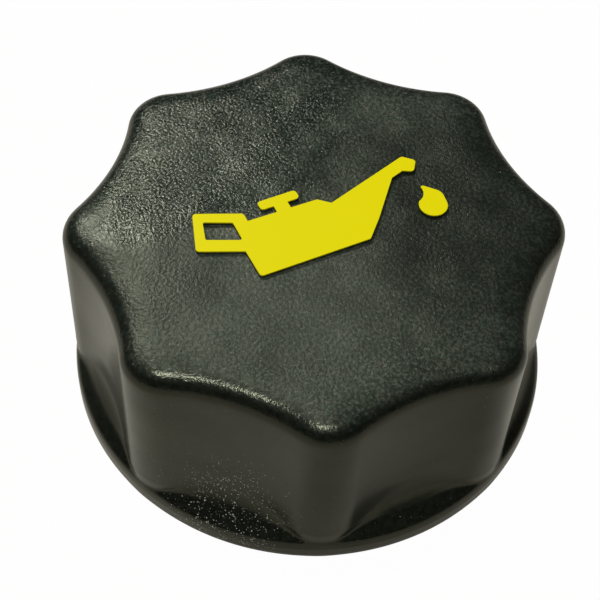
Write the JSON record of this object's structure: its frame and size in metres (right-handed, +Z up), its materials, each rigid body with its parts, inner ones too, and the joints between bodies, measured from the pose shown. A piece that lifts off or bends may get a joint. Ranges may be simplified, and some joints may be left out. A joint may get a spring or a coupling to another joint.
{
  "type": "oil filler cap",
  "caption": "Star-shaped oil filler cap: a lobed hand grip on a round rim with a raised yellow oil can, and below it a bayonet plug with a sealing ring.",
  "frame": {"origin": "centre of the sealing ring's lower face, where it meets the filler neck", "axes": "+Z up along the cap's axis towards the grip's top face, +X through one lobe of the grip and one bayonet lug"},
  "size_m": [0.068, 0.068, 0.0446],
  "materials": {
    "grip_nylon": "fine grain on the top face, satin on the sides",
    "plug_nylon": "satin",
    "seal_rubber": "matte",
    "yellow_facing": "satin"
  },
  "bodies": {
    "root": {"grip": "grip_nylon", "bayonet_plug": "plug_nylon", "sealing_ring": "seal_rubber", "oil_can_mark": "yellow_facing", "oil_drop_mark": "yellow_facing"}
  },
  "joints": []
}
